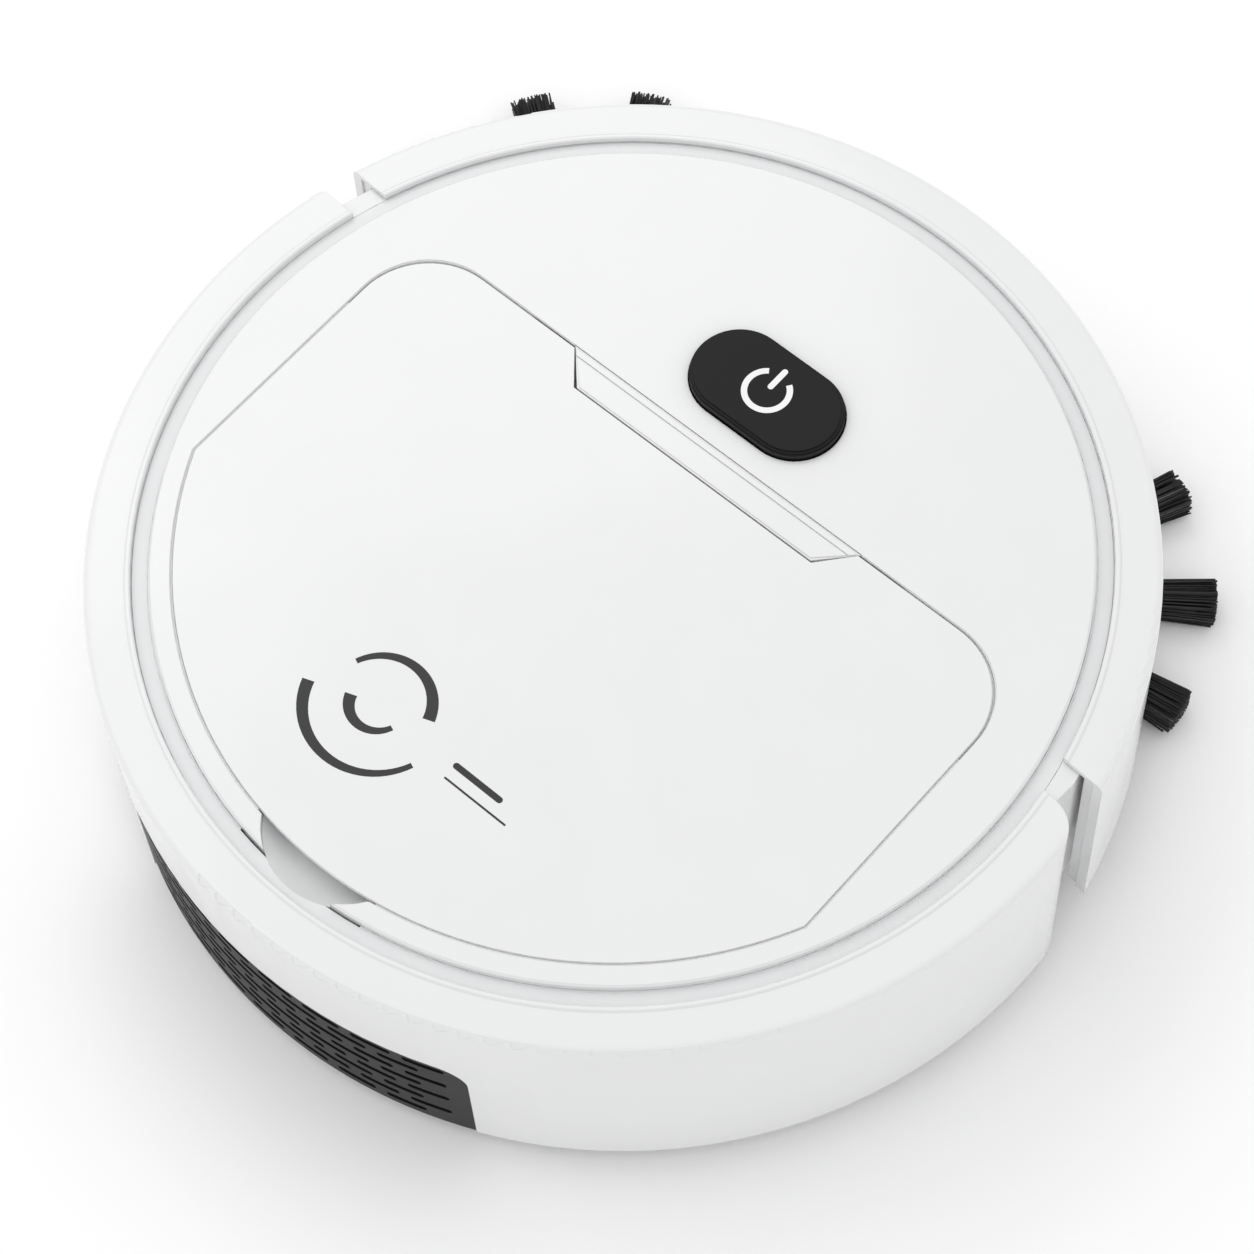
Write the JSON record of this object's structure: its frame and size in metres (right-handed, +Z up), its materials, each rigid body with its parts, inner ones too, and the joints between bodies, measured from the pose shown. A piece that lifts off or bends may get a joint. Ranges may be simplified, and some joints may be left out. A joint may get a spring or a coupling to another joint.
{
  "type": "robotic floor cleaner",
  "caption": "Round robotic floor cleaner with a hinged top lid over its dust box, a sprung front bumper, a start button, two tufted side brushes and a rear exhaust grille.",
  "frame": {"origin": "on the floor, directly below the centre of the round body", "axes": "+Z up, +Y forward towards the bumper, +X to the machine's right"},
  "size_m": [0.2675, 0.2635, 0.0712],
  "materials": {
    "white_gloss": "glossy injection-moulded plastic",
    "white_satin": "satin moulded plastic",
    "trim_grey": "glossy light grey plastic",
    "black_satin": "satin black plastic",
    "charcoal": "fine-textured dark plastic",
    "dark_plastic": "moulded dark grey plastic",
    "rubber": "matt rubber",
    "smoke_clear": "smoky clear plastic",
    "nylon_white": "natural nylon",
    "paper": "pleated filter paper",
    "grey_plastic": "moulded grey plastic",
    "steel": "plated steel",
    "brass": "turned brass",
    "cell_wrap": "shrink film",
    "board_green": "solder mask",
    "bristle": "nylon bristle"
  },
  "bodies": {
    "body": {"base_plate": "white_satin", "body_casing": "white_gloss", "trim_ring": "trim_grey", "top_panel": "white_gloss", "hinge_cover": "white_gloss", "hinge_pins": "steel", "inner_deck": "white_satin", "exhaust_grille": "charcoal", "suction_mouth": "charcoal", "inlet_blade": "rubber", "dust_box": "smoke_clear", "filter_frame": "nylon_white", "filter_pleats": "paper", "fan_seal": "rubber", "fan_housing": "white_satin", "fan_motor": "steel", "battery_cells": "cell_wrap", "battery_contacts": "steel", "battery_cover": "white_satin", "main_pcb": "board_green", "start_switch": "dark_plastic", "charge_socket": "dark_plastic", "gearbox_right": "grey_plastic", "gearbox_left": "grey_plastic", "gearbox_cover_right": "grey_plastic", "gearbox_cover_left": "grey_plastic", "drive_motor_right": "steel", "drive_motor_left": "steel", "brush_motor_right": "steel", "brush_motor_left": "steel", "bumper_springs": "steel", "bumper_switches": "dark_plastic", "casing_screws": "steel", "button_spring": "steel"},
    "lid": {"lid": "white_gloss"},
    "bumper": {"bumper": "white_gloss"},
    "start_button": {"start_button": "black_satin"},
    "wheel_right": {"wheel_rim_right": "dark_plastic", "tyre_right": "rubber", "wheel_gear_right": "nylon_white"},
    "wheel_left": {"wheel_rim_left": "dark_plastic", "tyre_left": "rubber", "wheel_gear_left": "nylon_white"},
    "compound_right": {"compound_gear_right": "nylon_white"},
    "compound_left": {"compound_gear_left": "nylon_white"},
    "pinion_right": {"motor_pinion_right": "brass"},
    "pinion_left": {"motor_pinion_left": "brass"},
    "caster_fork": {"caster_fork": "dark_plastic"},
    "caster_wheel": {"caster_wheel": "rubber"},
    "brush_right": {"brush_hub_right": "dark_plastic", "brush_tufts_right": "bristle", "brush_screw_right": "steel"},
    "brush_left": {"brush_hub_left": "dark_plastic", "brush_tufts_left": "bristle", "brush_screw_left": "steel"},
    "fan": {"fan_impeller": "nylon_white"}
  },
  "joints": [
    {"name": "lid_hinge", "type": "hinge", "parent": "body", "child": "lid", "pos_m": [0, 0.0389, 0.0636], "axis": [-1, 0, 0], "range_deg": [0, 90]},
    {"name": "bumper_slide", "type": "slide", "parent": "body", "child": "bumper", "axis": [0, -1, 0], "range_m": [0, 0.003], "stiffness_N_per_m": 600, "springref_m": -0.002, "deforming": ["bumper_springs"]},
    {"name": "button_press", "type": "slide", "parent": "body", "child": "start_button", "axis": [0, 0, -1], "range_m": [0, 0.0012], "stiffness_N_per_m": 600, "springref_m": -0.001, "deforming": ["button_spring"]},
    {"name": "wheel_spin_right", "type": "hinge", "parent": "body", "child": "wheel_right", "pos_m": [0.099, -0.012, 0.023], "axis": [1, 0, 0], "continuous": true},
    {"name": "compound_spin_right", "type": "hinge", "parent": "body", "child": "compound_right", "pos_m": [0.077, 0.00357, 0.02961], "axis": [1, 0, 0], "continuous": true},
    {"name": "motor_spin_right", "type": "hinge", "parent": "body", "child": "pinion_right", "pos_m": [0.0736, 0.02079, 0.02335], "axis": [1, 0, 0], "continuous": true},
    {"name": "wheel_spin_left", "type": "hinge", "parent": "body", "child": "wheel_left", "pos_m": [-0.099, -0.012, 0.023], "axis": [1, 0, 0], "continuous": true},
    {"name": "compound_spin_left", "type": "hinge", "parent": "body", "child": "compound_left", "pos_m": [-0.077, 0.00357, 0.02961], "axis": [1, 0, 0], "continuous": true},
    {"name": "motor_spin_left", "type": "hinge", "parent": "body", "child": "pinion_left", "pos_m": [-0.0736, 0.02079, 0.02335], "axis": [1, 0, 0], "continuous": true},
    {"name": "caster_swivel", "type": "hinge", "parent": "body", "child": "caster_fork", "pos_m": [-0.0143, 0.1045, 0.0136], "axis": [0, 0, 1], "continuous": true},
    {"name": "caster_roll", "type": "hinge", "parent": "caster_fork", "child": "caster_wheel", "pos_m": [-0.0143, 0.1025, 0.0052], "axis": [1, 0, 0], "continuous": true},
    {"name": "brush_spin_right", "type": "hinge", "parent": "body", "child": "brush_right", "pos_m": [0.0485, 0.07, 0.005], "axis": [0, 0, 1], "continuous": true},
    {"name": "brush_spin_left", "type": "hinge", "parent": "body", "child": "brush_left", "pos_m": [-0.0796, 0.0756, 0.005], "axis": [0, 0, 1], "continuous": true},
    {"name": "fan_spin", "type": "hinge", "parent": "body", "child": "fan", "pos_m": [0, -0.06, 0.0344], "axis": [0, 1, 0], "continuous": true}
  ],
  "couplings": [
    {"joint": "compound_spin_right", "follows": "wheel_spin_right", "ratio": -3},
    {"joint": "motor_spin_right", "follows": "wheel_spin_right", "ratio": 10},
    {"joint": "compound_spin_left", "follows": "wheel_spin_left", "ratio": -3},
    {"joint": "motor_spin_left", "follows": "wheel_spin_left", "ratio": 10}
  ]
}
